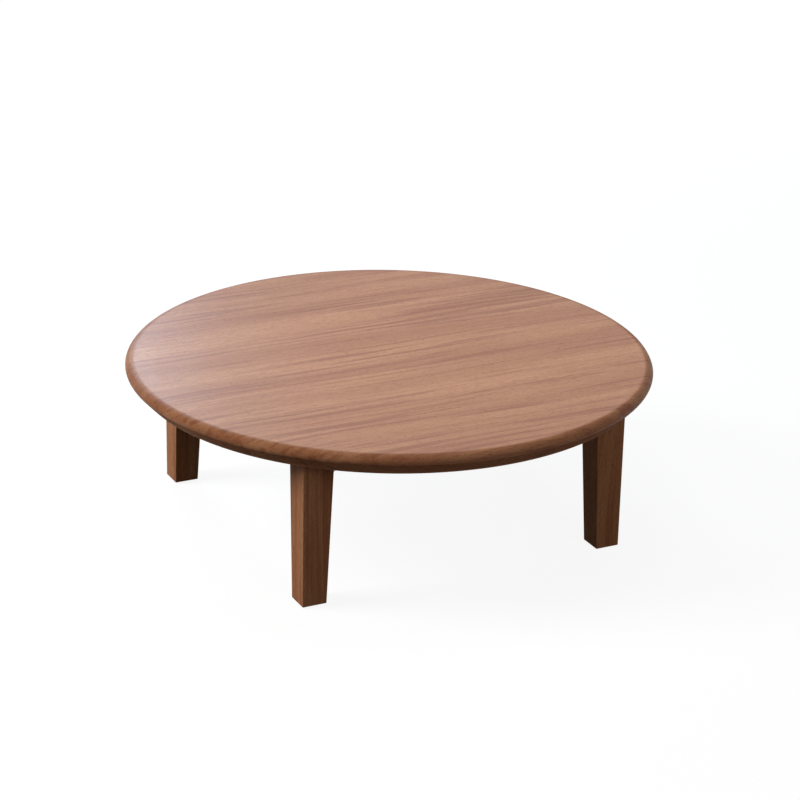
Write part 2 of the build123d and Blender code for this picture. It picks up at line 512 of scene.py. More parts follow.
SWAY = Figure(420.0, 150.0, detail=1.0)
SWAY_REACH = 30.0  # across the grain, over the whole range of its noise
BANDS = Figure(900.0, 55.0, fade=(0.36, 0.64))
RINGS = Figure(300.0, 10.0, detail=3.0, fade=(0.45, 0.66), strength=0.78)
RING_PATCHES = Figure(340.0, 70.0, detail=1.0, fade=(0.30, 0.55))
LINES = Figure(190.0, 3.6, fade=(0.46, 0.70), strength=0.24)
FIBRE = Figure(18.0, 1.3, fade=(0.42, 0.72), strength=0.46)
# An ash pore is a quarter of a millimetre wide, drawn here at over 1 mm so that it shows
PORES = Figure(7.0, 1.3, detail=1.0, fade=(0.56, 0.70), strength=0.38)


@dataclass(frozen=True)
class StainedAsh:
    """Ash, planed and sanded, stained walnut brown under a satin open-pored lacquer.

    The stain sinks into each ring's late wood, so the figure is soft redder streaks that wander and
    fade. The lacquer leaves the pores open, which breaks its sheen up into fine dashes.
    """

    name: str
    pale: str = "bb8763"
    body: str = "a87251"
    streak: str = "8b5339"
    pore: str = "6a422e"
    # colour multiplied into the rounded rim's own, as painted shade
    rim_glaze: str = "dcd5cb"
    rim_radius: float = 0.0  # where the painted rim shade begins, or 0 for a piece with none
    rim_fade: float = 6.5  # from there to where the painted shade is full
    rim_dulling: float = 0.12  # how much rougher the rim is
    rim_gloss: float = 0.15  # of the rim, where the face is glossier
    turn: Place = (0.0, 0.0, 0.0)  # of the grain from +X, in radians
    offset: Place = (0.0, 0.0, 0.0)  # of the figure
    coarseness: float = 1.0  # width of the figure, against the board's
    roughness: float = 0.38
    fibre_roughness: float = 0.14
    pore_roughness: float = 0.18
    fibre_height: float = 0.6  # against the depth of a pore
    relief: float = 0.2  # depth of a pore
    bump: float = 0.35  # how strongly it shows
    gloss: float = 0.30
    ior: float = 1.5

    def noise(self, tree: Tree, figure: Figure, grain: Source) -> Node:
        """Draw a layer's patches out along the grain.

        Args:
            tree: The material's tree.
            figure: The layer.
            grain: Coordinates with the grain along X.

        Returns:
            The noise, from 0 to 1.
        """
        across = figure.width * self.coarseness * MM
        size = (figure.length * MM, across, across)
        scaled = add_node(tree, "Mapping", {"Vector": grain, "Scale": size}, vector_type="TEXTURE")
        inputs = {"Vector": scaled, "Scale": 1.0, "Detail": figure.detail}
        return add_node(tree, "TexNoise", inputs)

    def layer(self, tree: Tree, figure: Figure, grain: Source) -> tuple[Node, Node]:
        """Build a layer of the figure.

        Args:
            tree: The material's tree.
            figure: The layer.
            grain: Coordinates with the grain along X.

        Returns:
            Its noise, and how much of it shows, each from 0 to 1.
        """
        noise = self.noise(tree, figure, grain)
        low, high = figure.fade
        inputs = {"Value": noise, "From Min": low, "From Max": high}
        return noise, add_node(tree, "MapRange", inputs, interpolation_type="SMOOTHSTEP")

    def stained(
        self, tree: Tree, base: Source, colour: str, where: Source, strength: float
    ) -> Source:
        """Lay a colour over a base.

        Args:
            tree: The material's tree.
            base: The colour below.
            colour: The colour that is laid over it, in hex.
            where: Where it goes, from 0 to 1.
            strength: How much of it shows where it goes fully.

        Returns:
            The two colours together.
        """
        factor = add_node(tree, "Math", {0: where, 1: strength}, operation="MULTIPLY")
        inputs = {MIX_FACTOR: factor, MIX_A: base, MIX_B: linear(colour)}
        return add_node(tree, "Mix", inputs, data_type="RGBA").outputs[MIX_RESULT]

    def with_rim_shade(
        self, tree: Tree, coords: Source, colour: Source, rough: Source
    ) -> tuple[Source, ...]:
        """Paint shade on the routed rim, darkening its colour towards the edge, and make it rougher
        and less glossy.

        Args:
            tree: The material's tree.
            coords: The piece's own coordinates.
            colour: The colour of the figure.
            rough: Its roughness.

        Returns:
            The colour with the rim's painted shade, and the roughness and the gloss with those of
            the rim.
        """
        flat = add_node(tree, "VectorMath", {0: coords, 1: (1.0, 1.0, 0.0)}, operation="MULTIPLY")
        radius = add_node(tree, "VectorMath", {0: flat}, operation="LENGTH").outputs["Value"]
        start_at, full_at = self.rim_radius * MM, (self.rim_radius + self.rim_fade) * MM
        inputs = {"Value": radius, "From Min": start_at, "From Max": full_at}
        rim = add_node(tree, "MapRange", inputs, interpolation_type="SMOOTHSTEP")
        # Painted shade: the rim's colour is multiplied by a darker colour towards the edge
        inputs = {MIX_FACTOR: rim, MIX_A: colour, MIX_B: linear(self.rim_glaze)}
        rim_shaded = add_node(tree, "Mix", inputs, data_type="RGBA", blend_type="MULTIPLY")
        inputs = {0: rim, 1: self.rim_dulling, 2: rough}
        dulled = add_node(tree, "Math", inputs, operation="MULTIPLY_ADD")
        inputs = {0: rim, 1: min(self.rim_gloss - self.gloss, 0.0), 2: self.gloss}
        gloss = add_node(tree, "Math", inputs, operation="MULTIPLY_ADD")
        return rim_shaded.outputs[MIX_RESULT], dulled, gloss

    def material(self) -> Material:
        """Build the material.

        Returns:
            The material, its figure in the piece's own Object coordinates.
        """
        material, tree = new_material(self.name)
        coords = add_node(tree, "TexCoord").outputs["Object"]
        offset = [length * MM for length in self.offset]
        inputs = {"Vector": coords, "Location": offset, "Rotation": self.turn}
        straight = add_node(tree, "Mapping", inputs, vector_type="TEXTURE")
        # The whole figure wanders a few millimetres to either side as the tree grew
        wander = self.noise(tree, SWAY, straight).outputs["Color"]
        inputs = {0: wander, 1: (0.0, SWAY_REACH * MM, SWAY_REACH * MM), 2: straight}
        sway = add_node(tree, "VectorMath", inputs, operation="MULTIPLY_ADD")

        bands = self.layer(tree, BANDS, sway)[1]
        rings, here = self.layer(tree, RINGS, sway)[1], self.layer(tree, RING_PATCHES, straight)[1]
        rings = add_node(tree, "Math", {0: rings, 1: here}, operation="MULTIPLY")
        lines = self.layer(tree, LINES, sway)[1]
        fibre, fibres = self.layer(tree, FIBRE, sway)
        pores = self.layer(tree, PORES, straight)[1]

        colour = self.stained(tree, linear(self.pale), self.body, bands, BANDS.strength)
        colour = self.stained(tree, colour, self.streak, rings, RINGS.strength)
        colour = self.stained(tree, colour, self.streak, lines, LINES.strength)
        colour = self.stained(tree, colour, self.streak, fibres, FIBRE.strength)
        colour = self.stained(tree, colour, self.pore, pores, PORES.strength)

        inputs = {0: fibre, 1: self.fibre_roughness, 2: self.roughness - self.fibre_roughness / 2}
        rough = add_node(tree, "Math", inputs, operation="MULTIPLY_ADD")
        inputs = {0: pores, 1: self.pore_roughness, 2: rough}
        rough = add_node(tree, "Math", inputs, operation="MULTIPLY_ADD")
        gloss = self.gloss
        if self.rim_radius:
            colour, rough, gloss = self.with_rim_shade(tree, coords, colour, rough)

        raised = add_node(tree, "Math", {0: fibre, 1: self.fibre_height}, operation="MULTIPLY")
        height = add_node(tree, "Math", {0: pores, 1: -1.0, 2: raised}, operation="MULTIPLY_ADD")
        inputs = {"Strength": self.bump, "Distance": self.relief * MM, "Height": height}
        bump = add_node(tree, "Bump", inputs)
        inputs = {"Base Color": colour, "Roughness": rough, "Normal": bump, "IOR": self.ior}
        shader = add_node(tree, "BsdfPrincipled", {**inputs, "Specular IOR Level": gloss})
        add_node(tree, "OutputMaterial", {"Surface": shader})
        return material


@dataclass(frozen=True)
class PatchyFinish:
    """What plated steel and sheet rubber share: soft patches of two colours, and a fine grain."""

    name: str
    colour: str
    patch_colour: str
    roughness: float
    patch_roughness: float  # how much rougher the patches are than the rest
    metallic: float
    patch: float  # width of a patch
    grain: float  # width of a grain
    relief: float  # depth of the grain
    bump: float  # how strongly it shows
    patch_detail: float = 3.0
    grain_detail: float = 2.0

    def material(self) -> Material:
        """Build the material.

        Returns:
            The material, its patches in the piece's own Object coordinates.
        """
        material, tree = new_material(self.name)
        coords = add_node(tree, "TexCoord").outputs["Object"]
        inputs = {"Vector": coords, "Scale": 1.0 / (self.patch * MM)}
        inputs["Detail"] = self.patch_detail
        patches = add_node(tree, "TexNoise", inputs)
        inputs = {"Vector": coords, "Scale": 1.0 / (self.grain * MM)}
        inputs["Detail"] = self.grain_detail
        grain = add_node(tree, "TexNoise", inputs)
        colours = {MIX_A: linear(self.colour), MIX_B: linear(self.patch_colour)}
        colour = add_node(tree, "Mix", {MIX_FACTOR: patches, **colours}, data_type="RGBA")
        rough = self.roughness
        if self.patch_roughness:
            inputs = {0: patches, 1: self.patch_roughness, 2: rough - self.patch_roughness / 2}
            rough = add_node(tree, "Math", inputs, operation="MULTIPLY_ADD")
        inputs = {"Strength": self.bump, "Distance": self.relief * MM, "Height": grain}
        bump = add_node(tree, "Bump", inputs)
        inputs = {"Metallic": self.metallic, "Roughness": rough, "Normal": bump}
        inputs["Base Color"] = colour.outputs[MIX_RESULT]
        shader = add_node(tree, "BsdfPrincipled", inputs)
        add_node(tree, "OutputMaterial", {"Surface": shader})
        return material


@dataclass(frozen=True)
class PlatedSteel(PatchyFinish):
    """Low carbon steel, stamped, headed or drawn, and then zinc or nickel plated.

    The plating is grey with soft, slightly cloudy spangle, and duller than polished metal.
    """

    colour: str = "c9c8c3"
    patch_colour: str = "9c9b97"
    roughness: float = 0.36
    patch_roughness: float = 0.22
    metallic: float = 1.0
    patch: float = 9.0
    grain: float = 0.5
    relief: float = 0.1
    bump: float = 0.15


@dataclass(frozen=True)
class SheetRubber(PatchyFinish):
    """Dense dark rubber sheet, cut square, with a fine moulded grain that keeps it dull."""

    colour: str = "2b2724"
    patch_colour: str = "4a443f"
    roughness: float = 0.85
    patch_roughness: float = 0.0
    metallic: float = 0.0
    patch: float = 14.0
    grain: float = 0.8
    relief: float = 0.2
    bump: float = 0.4


# ---- The board ----


def soft_turn(before: Vector, corner: Vector, after: Vector, steps: int) -> list[Pair]:
    """Round a corner of a profile.

    Args:
        before: Where the turn begins.
        corner: The sharp corner.
        after: Where the turn ends.
        steps: How many steps it takes.

    Returns:
        The points of the turn, with both ends.
    """
    shares = [step / steps for step in range(steps + 1)]
    return [
        tuple((1 - t) ** 2 * before + 2 * t * (1 - t) * corner + t * t * after) for t in shares
    ]


@dataclass
class RoundTop:
    """The round board: rim rounded above, bevelled below, and every edge eased by hand."""

    diameter: float = 800.0
    height: float = 260.0
    thickness: float = 34.0
    widest_drop: float = 13.0
    top_inset: float = 11.0
    under_inset: float = 20.0
    nose_ease: float = 3.5
    nose_steps: int = 5
    under_ease: float = 1.6
    under_steps: int = 4
    arc_steps: int = 12
    under_ring: float = 4.0  # how far inside the bevel the underside's outermost ring is
    face_rings: Pair = (1.2, 5.0)  # how far inside the rounded rim the face's rings are
    sides: int = 256

    def profile(self) -> list[Pair]:
        """Draw the rim, from inside the underside to inside the face.

        Returns:
            Radius and height of each ring.
        """
        rim, under = self.diameter / 2, self.height - self.thickness
        nose = self.height - self.widest_drop
        radius = (self.top_inset**2 + self.widest_drop**2) / (2 * self.top_inset)
        sweep = atan2(self.widest_drop, radius - self.top_inset)
        foot, widest = Vector((rim - self.under_inset, under)), Vector((rim, nose))
        slope = (widest - foot).normalized()
        first = self.nose_ease / radius
        steps = range(self.arc_steps + 1)
        arc = [first + (sweep - first) * step / self.arc_steps for step in steps]
        rounded = [(rim - radius + radius * cos(a), nose + radius * sin(a)) for a in arc]
        before, after = foot - Vector((self.under_ease, 0)), foot + slope * self.under_ease
        return [
            (foot.x - self.under_ring, under),
            *soft_turn(before, foot, after, self.under_steps),
            *soft_turn(
                widest - slope * self.nose_ease, widest, Vector(rounded[0]), self.nose_steps
            ),
            *rounded[1:],
            *((rounded[-1][0] - inset, self.height) for inset in self.face_rings),
        ]

    def build(self, lacquered: Material, sealed: Material) -> None:
        """Raise the board ring by ring from its underside, and dress it.

        Args:
            lacquered: The material of its face and rim.
            sealed: The material of its underside and the bevel round it.
        """
        board = turned(self.profile(), self.sides)
        board.name = board.data.name = "top_board"
        shade(board)
        dress(board, lacquered, "table", "table_top")
        board.data.materials.append(sealed)
        for face in board.data.polygons:
            face.material_index = int(face.center.z < (self.height - self.widest_drop) * MM)


# ---- The legs ----


@dataclass
class TaperedLeg:
    """A square leg, upright on its two outer faces and tapered on its two inner ones."""

    spread: float = 524.0
    top_width: float = 48.0
    foot_width: float = 38.0
    top: float = 226.0
    pad: float = 2.0
    ease: float = 1.1  # of the long edges and the foot
    ease_steps: int = 3

    def build(self, wood: Callable[[Corner], Material]) -> None:
        """Taper and ease one leg, and set it at each corner.

        Args:
            wood: Gives a corner's own material, with a figure that no other leg has.
        """
        outer = -self.spread / 2
        inner = outer + self.top_width
        leg = start_block((outer, outer, self.pad), (inner, inner, self.top))
        foot, share = self.pad * MM, self.foot_width / self.top_width
        fixed = (outer * MM, outer * MM, foot)
        with editing(leg):
            pick(leg, Element.FACES, looks_down)
            bpy.ops.transform.resize(value=(share, share, 1), center_override=fixed)
            pick(leg, Element.EDGES, lambda edge: min(v.co.z for v in edge.verts) < foot + MM)
            bpy.ops.mesh.bevel(offset=self.ease * MM, segments=self.ease_steps, affect="EDGES")
        shade(leg)
        for post, corner in at_corners(leg, "leg_post"):
            label = f"leg_{corner.label}"
            dress(post, wood(corner), label, label)


@dataclass
class FootPad:
    """A thin square of rubber stuck under the foot."""

    middle: float = -243.0
    width: float = 28.0
    thickness: float = 2.0
    border: float = 2.5  # round the hollow of its face
    hollow: Pair = (0.6, 0.4)  # width of the hollow's slope, and its depth
    ease: float = 0.35

    def build(self, rubber: Material) -> None:
        """Cut the pad with its face hollowed a little, and set it at each corner.

        Args:
            rubber: Its material.
        """
        low, high = self.middle - self.width / 2, self.middle + self.width / 2
        pad = start_block((low, low, 0), (high, high, self.thickness))
        slope, depth = self.hollow
        with editing(pad):
            pick(pad, Element.FACES, looks_down)
            bpy.ops.mesh.inset(thickness=self.border * MM)
            bpy.ops.mesh.inset(thickness=slope * MM, depth=-depth * MM)
        ease(pad, self.ease)
        shade(pad)
        set_out(pad, "foot_rubber", rubber, "leg_{}", "foot_pad_{}")


# ---- The hinges ----


@dataclass(frozen=True)
class HingeFrame:
    """The front left hinge: reach runs inwards from its leg, and drop down from the board."""

    leg_face: float = -214.0
    middle: float = -238.0
    underside: float = 226.0
    taper: float = atan2(10.0, 224.0)  # of the leg's inner faces, over its height
    pivot: Pair = (13.5, 13.5)
    spring_pin: Pair = (7.5, 7.5)
    anchor: Pair = (66.0, 13.5)
    steel: float = 2.0
    edge: float = 0.22  # how much the stamped edges are eased
    corner: float = 3.0
    corner_steps: int = 5
    footprint: Pair = (0.0, 0.01)  # thin enough to be an ear's footprint alone

    def point(self, reach: float, across: float, drop: float) -> Place:
        """A point in the table's frame, in millimetres."""
        return self.leg_face + reach, self.middle + across, self.underside - drop

    def at(self, reach: float, across: float, drop: float) -> Matrix:
        """The move from the origin to a point."""
        return Matrix.Translation(Vector(self.point(reach, across, drop)) * MM)

    def axle(self, centre: Pair) -> Matrix:
        """The move of a piece turned about Z to where it lies along the hinge's axis."""
        return self.at(centre[0], 0, centre[1]) @ Matrix.Rotation(-pi / 2, 4, "X")

    def on_leg(self) -> Matrix:
        """The tilt of the leg's inner face, about its top edge."""
        top = self.at(0, 0, 0)
        return top @ Matrix.Rotation(self.taper, 4, "Y") @ top.inverted()

    def block(self, reach: Pair, across: Pair, drop: Pair) -> Object:
        """Add a block in the hinge's own directions.

        Args:
            reach: Its two ends in reach.
            across: Its two ends across.
            drop: Its upper and its lower end in drop.

        Returns:
            The block.
        """
        low = self.point(reach[0], across[0], drop[1])
        high = self.point(reach[1], across[1], drop[0])
        return start_block(low, high)


@dataclass
class Ear:
    """A lug bent up out of a bracket, round about each of its holes."""

    inner: float
    outer: float
    posts: tuple[tuple[Pair, float], ...]  # the middle of each hole and the steel's radius round it
    sides: int = 40

    def build(self, frame: HingeFrame, feet: Callable[[Pair], Object]) -> list[Object]:
        """Shape the ear and its twin on the other side of the hinge.

        Args:
            frame: The hinge.
            feet: Makes the strip that the ear stands on, between two places across.

        Returns:
            The two ears.
        """
        ears = []
        for near, far in ((self.inner, self.outer), (-self.outer, -self.inner)):
            rounds = [
                moved(turned([(radius, near), (radius, far)], self.sides), frame.axle(centre))
                for centre, radius in self.posts
            ]
            ears.append(hull([*rounds, feet((near, far))]))
        return ears


@dataclass
class ScrewSet:
    """Four countersunk wood screws with cross recesses, in a rectangle."""

    name: str
    body: str  # that they ride on, with {} where the corner goes
    node: str  # that they stand for, in the same way
    length: float
    seats: tuple[Matrix, ...]
    shank: float = 2.0
    head: float = 4.0
    head_rim: Pair = (0.12, 0.25)  # inset of the head's upper edge, and height of its soft rim
    point: float = 3.0
    tip: float = 0.2  # radius of the point's end, against the shank's
    sides: int = 24
    slot: Pair = (4.4, 1.15)
    slot_depth: float = 1.5
    slot_taper: float = 0.55  # size of a slot's bottom, against its mouth
    gap: float = 0.12  # between a head and its countersink
    sink_depth: float = 4.0
    sink_sides: int = 32
    overshoot: float = 1.0  # how far a cutter stands out
    turn: float = 0.7  # of the first screw's cross, in radians
    next_turn: float = 0.9  # from one screw's cross to the next one's

    def screw(self) -> Object:
        """Turn one screw about Z, its flat head at the origin, and punch its recess.

        Returns:
            The screw.
        """
        inset, rim = self.head_rim
        profile = [
            (self.shank * self.tip, -self.length),
            (self.shank, self.point - self.length),
            (self.shank, self.shank - self.head),
            (self.head - rim, -rim),
            (self.head - inset, 0.0),
        ]
        screw = turned(profile, self.sides)
        slots = []
        for size in (self.slot, self.slot[::-1]):
            half = Vector(size) / 2
            low = (-half.x, -half.y, -self.slot_depth)
            slot = start_block(low, (half.x, half.y, self.overshoot))
            with editing(slot):
                pick(slot, Element.FACES, looks_down)
                narrower = (self.slot_taper, self.slot_taper, 1)
                bpy.ops.transform.resize(value=narrower, center_override=(0, 0, 0))
            slots.append(slot)
        return shade(combine(screw, slots, Join.CUT))

    def cutters(self) -> list[Object]:
        """Make the countersinks, a little wider than the heads.

        Returns:
            A countersink in each seat, to be cut out.
        """
        wide, narrow = self.head + self.gap, self.shank + self.gap
        profile = [
            (narrow, -self.sink_depth),
            (narrow, self.shank - self.head),
            (wide, 0.0),
            (wide, self.overshoot),
        ]
        return [moved(turned(profile, self.sink_sides), seat) for seat in self.seats]

    def build(self, steel: Material) -> None:
        """Drive the screws of every corner.

        Args:
            steel: Their material.
        """
        first = self.screw()
        spread = []
        for number, seat in enumerate(self.seats):
            turn = Matrix.Rotation(self.turn + self.next_turn * number, 4, "Z")
            spread.append(moved(duplicate(first), seat @ turn))
        bpy.data.objects.remove(first)
        set_out(join(spread), self.name, steel, self.body, self.node)


@dataclass
class TopBracket:
    """The plate under the board: two wings for screws, and two pairs of ears bent down."""

    inner: float = 12.3
    outer: float = 14.3
    ear_radius: float = 7.0
    ear_foot: float = 20.0
    wing_width: float = 60.0
    wing_length: float = 28.0
    bend: float = 1.8
    bend_steps: int = 4
    screw_rows: Pair = (-7.5, 7.5)
    screw_columns: Pair = (-21.5, 21.5)

    def seats(self, frame: HingeFrame) -> tuple[Matrix, ...]:
        """Place the screws, their heads flush with the plate.

        Args:
            frame: The hinge.

        Returns:
            The move of each screw from the origin to its place.
        """
        middle, down = (frame.pivot[0] + frame.anchor[0]) / 2, Matrix.Rotation(pi, 4, "X")
        return tuple(
            frame.at(middle + along, across, frame.steel) @ down
            for along, across in product(self.screw_rows, self.screw_columns)
        )

    def build(self, frame: HingeFrame, steel: Material, screws: ScrewSet) -> None:
        """Stamp the bracket, and set it at each corner.

        Args:
            frame: The hinge.
            steel: The bracket's material.
            screws: The screws that hold it, for its countersinks.
        """
        sheet, half = (0.0, frame.steel), self.ear_foot / 2
        low, high = frame.pivot[0] - half, frame.anchor[0] + half
        middle = (low + high) / 2
        wing = (middle - self.wing_length / 2, middle + self.wing_length / 2)
        bracket = frame.block((low, high), (-self.outer, self.outer), sheet)
        wings = frame.block(wing, (-self.wing_width / 2, self.wing_width / 2), sheet)
        round_edges(wings, 2, frame.corner, frame.corner_steps)
        ears = []
        for post in (frame.pivot, frame.anchor):
            ear, foot = (post, self.ear_radius), (post[0] - half, post[0] + half)
            ears += Ear(self.inner, self.outer, (ear,)).build(
                frame, lambda across, foot=foot: frame.block(foot, across, frame.footprint)
            )
        combine(bracket, [wings, *ears], Join.UNITE)
        self.round_bends(frame, bracket, wing)
        combine(bracket, screws.cutters(), Join.CUT)
        ease(bracket, frame.edge)
        shade(bracket)
        set_out(bracket, "board_plate", steel, "table", "top_bracket_{}")

    def round_bends(self, frame: HingeFrame, bracket: Object, wing: Pair) -> None:
        """Round the outside of each bend, where an ear leaves the plate.

        Args:
            frame: The hinge.
            bracket: The bracket.
            wing: Reach of the two sides of the wings.
        """
        top = frame.underside * MM
        sides = [(frame.middle - self.outer) * MM, (frame.middle + self.outer) * MM]
        near, far = ((frame.leg_face + reach) * MM for reach in wing)

        def outside_a_bend(edge: bmesh.types.BMEdge) -> bool:
            """Tell whether an edge runs along the bracket's top, beside its wings.

            Args:
                edge: The edge.

            Returns:
                Whether it does.
            """
            ends = [vertex.co for vertex in edge.verts]
            level = all(abs(end.z - top) < SAME_PLACE for end in ends)
            along = any(all(abs(end.y - side) < SAME_PLACE for end in ends) for side in sides)
            return level and along and not near < (ends[0].x + ends[1].x) / 2 < far

        with editing(bracket):
            pick(bracket, Element.EDGES, outside_a_bend)
            bpy.ops.mesh.bevel(offset=self.bend * MM, segments=self.bend_steps, affect="EDGES")


@dataclass
class LegBracket:
    """The plate on the leg: a wide foot for screws, and two ears round pivot and spring pin."""

    inner: float = 10.0
    outer: float = 12.0
    pivot_radius: float = 7.0
    spring_radius: float = 4.5
    neck: Pair = (3.0, 29.0)
    plate: Pair = (29.0, 73.0)
    plate_width: float = 36.0
    hole: float = 2.1  # radius of the spring pin's holes
    hole_reach: float = 20.0  # how far their cutter goes to either side
    hole_sides: int = 24
    screw_rows: Pair = (-12.5, 12.5)
    screw_columns: Pair = (-10.5, 10.5)

    def seats(self, frame: HingeFrame) -> tuple[Matrix, ...]:
        """Place the screws, their heads flush with the plate.

        Args:
            frame: The hinge.

        Returns:
            The move of each screw from the origin to its place.
        """
        middle, inwards = sum(self.plate) / 2, Matrix.Rotation(pi / 2, 4, "Y")
        return tuple(
            frame.on_leg() @ frame.at(frame.steel, across, middle + along) @ inwards
            for along, across in product(self.screw_rows, self.screw_columns)
        )

    def build(self, frame: HingeFrame, steel: Material, screws: ScrewSet) -> None:
        """Stamp the bracket, and set it at each corner.

        Args:
            frame: The hinge.
            steel: The bracket's material.
            screws: The screws that hold it, for its countersinks.
        """
        sheet, half, tilt = (0.0, frame.steel), self.plate_width / 2, frame.on_leg()
        neck = (self.neck[0], self.neck[1] + frame.corner)
        bracket = moved(frame.block(sheet, (-self.outer, self.outer), neck), tilt)
        plate = frame.block(sheet, (-half, half), self.plate)
        round_edges(plate, 0, frame.corner, frame.corner_steps)
        posts = ((frame.pivot, self.pivot_radius), (frame.spring_pin, self.spring_radius))
        ears = Ear(self.inner, self.outer, posts).build(
            frame, lambda across: moved(frame.block(frame.footprint, across, self.neck), tilt)
        )
        combine(bracket, [moved(plate, tilt), *ears], Join.UNITE)
        ends = [(self.hole, -self.hole_reach), (self.hole, self.hole_reach)]
        hole = moved(turned(ends, self.hole_sides), frame.axle(frame.spring_pin))
        combine(bracket, [hole, *screws.cutters()], Join.CUT)
        ease(bracket, frame.edge)
        shade(bracket)
        set_out(bracket, "leg_plate", steel, "leg_{}", "leg_bracket_{}")


@dataclass
class Pins:
    """The pivot rivets and the spring's two pins."""

    rivet: Pair = (9.9, 14.3)  # from inside the leg's ear to outside the board's
    rivet_shank: float = 2.5
    rivet_head: Pair = (4.5, 1.6)  # radius and height of its dome
    fixed: Pair = (-14.3, 14.3)
    fixed_shank: float = 2.0
    fixed_head: Pair = (3.6, 1.4)
    moving: float = 11.98  # from its middle to each end
    moving_shank: float = 2.0
    moving_crop: float = 0.35  # how much its ends are chamfered
    dome: tuple[float, ...] = (0.12, 0.45, 0.8, 1.12, 1.4, pi / 2)  # its rings, by their angles
    sides: int = 32

    def headed(self, span: Pair, shank: float, head: Pair) -> Object:
        """Turn a pin about Z, with a dome outside each of its two places along the axis.

        Args:
            span: The two places.
            shank: The pin's radius between them.
            head: Radius and height of a dome.

        Returns:
            The pin.
        """
        radius, height = head
        dome = [(radius * sin(a), height * cos(a)) for a in self.dome]
        below = [(ring, span[0] - rise) for ring, rise in dome]
        above = [(ring, span[1] + rise) for ring, rise in reversed(dome)]
        return turned([*below, (shank, span[0]), (shank, span[1]), *above], self.sides)

    def plain(self) -> Object:
        """Turn the leg's spring pin about Z, with chamfered ends.

        Returns:
            The pin.
        """
        shank, crop = self.moving_shank, self.moving_crop
        end = [(shank, self.moving - crop), (shank - crop, self.moving)]
        other = [(radius, -height) for radius, height in reversed(end)]
        return turned(other + end, self.sides)

    def build(self, frame: HingeFrame, steel: Material) -> None:
        """Set the rivets and both kinds of pin at each corner.

        Args:
            frame: The hinge.
            steel: Their material.
        """
        inside, outside = self.rivet
        rivets = [
            moved(self.headed(span, self.rivet_shank, self.rivet_head), frame.axle(frame.pivot))
            for span in ((inside, outside), (-outside, -inside))
        ]
        fixed = self.headed(self.fixed, self.fixed_shank, self.fixed_head)
        fixed = moved(fixed, frame.axle(frame.anchor))
        moving = moved(self.plain(), frame.axle(frame.spring_pin))
        for piece, name, body, node in (
            (join(rivets), "pivot_rivet", "table", "pivot_rivets"),
            (fixed, "fixed_pin", "table", "anchor_pins"),
            (moving, "moving_pin", "leg_{}", "spring_pin_{}"),
        ):
            set_out(shade(piece), name, steel, body, node)


@dataclass
class TensionSpring:
    """A close-wound spring, its wire led over to an eye at each end."""

    wire: float = 0.7
    wire_steps: int = 2  # of the round of the wire
    coil: float = 3.4
    turn_points: int = 10
    eye: float = 2.8
    eye_start: float = 300.0  # in degrees, and so is the sweep
    eye_sweep: float = 270.0
    eye_steps: int = 8
    hook: float = 7.0  # from the middle of an eye to the first turn
    lead: tuple[Place, ...] = ((4.7, 0.0, -1.2), (6.7, -0.4, -3.2))  # from an eye to the turns
    point_steps: int = 2  # of the wire, from point to point
    crisp_angle: float = 60.0

    def route(self, length: float) -> list[Place]:
        """Lay the wire along X from eye to eye, the first eye at the origin.

        Args:
            length: From eye to eye.

        Returns:
            The wire's points.
        """
        # A cubic curve runs inside its points, so these stand out by as much
        swell = 3 / (2 + cos(2 * pi / self.turn_points))
        eye = []
        for step in range(self.eye_steps + 1):
            angle = radians(self.eye_start - self.eye_sweep * step / self.eye_steps)
            eye.append((self.eye * swell * cos(angle), 0.0, self.eye * swell * sin(angle)))
        turns = round((length - 2 * self.hook) / (2 * self.wire))
        count = turns * self.turn_points
        pitch = (length - 2 * self.hook - 2 * self.wire) / count
        coil = []
        for step in range(count + 1):
            angle = 2 * pi * step / self.turn_points
            reach = self.hook + self.wire + step * pitch
            coil.append((reach, self.coil * swell * sin(angle), -self.coil * swell * cos(angle)))
        hooked = [*eye, *self.lead]
        return hooked + coil + [(length - x, -y, z) for x, y, z in reversed(hooked)]

    def build(self, frame: HingeFrame, steel: Material) -> None:
        """Wind the spring, and hook it on at each corner.

        Args:
            frame: The hinge.
            steel: Its material.
        """
        reach, drop = (b - a for a, b in zip(frame.spring_pin, frame.anchor))
        path = self.route(hypot(reach, drop))
        curve = bpy.data.curves.new("spring", "CURVE")
        curve.dimensions, curve.resolution_u = "3D", self.point_steps
        curve.bevel_depth, curve.bevel_resolution = self.wire * MM, self.wire_steps
        curve.use_fill_caps = True
        spline = curve.splines.new("NURBS")
        spline.points.add(len(path) - 1)
        for point, place in zip(spline.points, path):
            point.co = (*(length * MM for length in place), 1.0)
        spline.order_u, spline.use_endpoint_u = 4, True
        spring = bpy.data.objects.new("spring", curve)
        bpy.context.scene.collection.objects.link(spring)
        only(spring)
        bpy.ops.object.convert(target="MESH")
        hooked_at = frame.at(frame.spring_pin[0], 0, frame.spring_pin[1])
        moved(spring, hooked_at @ Matrix.Rotation(atan2(drop, reach), 4, "Y"))
        shade(spring, self.crisp_angle)
        set_out(spring, "wound_spring", steel, "spring_{}", "spring_{}")


# ---- The studio ----


@dataclass(frozen=True)
class Lamp:
    """A soft square lamp that faces the table."""

    name: str
    place: Place
    size: float  # the length of its side
    level: float  # how bright it makes a white card at the table that faces it, where 1 is white
    colour: str = "ffffff"
    glare: bool = True  # whether lacquer and metal mirror it

    def hang(self, aim: Place) -> None:
        """Add the lamp.

        Args:
            aim: The point that it faces.
        """
        light = bpy.data.lights.new(self.name, "AREA")
        light.shape, light.size = "SQUARE", self.size * MM
        light.color = linear(self.colour)[:3]
        lamp = bpy.data.objects.new(self.name, light)
        bpy.context.scene.collection.objects.link(lamp)
        lamp.visible_glossy = self.glare
        lamp.location = Vector(self.place) * MM
        towards = Vector(aim) * MM - lamp.location
        light.energy = self.level * pi**2 * towards.length_squared
        lamp.rotation_euler = towards.to_track_quat("-Z", "Y").to_euler()


